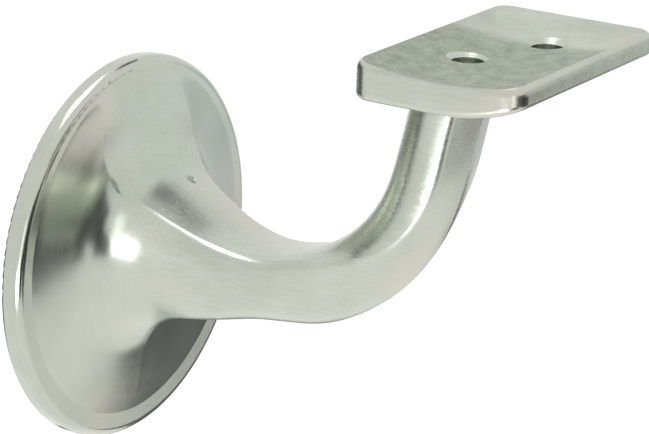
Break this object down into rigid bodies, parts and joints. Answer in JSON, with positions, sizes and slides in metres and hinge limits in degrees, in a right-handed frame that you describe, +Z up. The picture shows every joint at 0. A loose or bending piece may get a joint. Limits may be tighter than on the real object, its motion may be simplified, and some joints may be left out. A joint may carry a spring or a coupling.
{
  "type": "handrail bracket",
  "caption": "One-piece cast handrail bracket: a round wall rose swells into a J-shaped arm that carries a cradled rail seat with diagonal screw holes.",
  "frame": {"origin": "centre of the rose's flat back, on the axis of the tapped hole", "axes": "+Y into the wall, so the arm reaches towards -Y; +X along the handrail; +Z up"},
  "size_m": [0.07, 0.0917, 0.0847],
  "materials": {
    "cast_aluminium": "satin, fine brushed, with the seat's cradle left as cast"
  },
  "bodies": {
    "root": {"bracket": "cast_aluminium"}
  },
  "joints": []
}
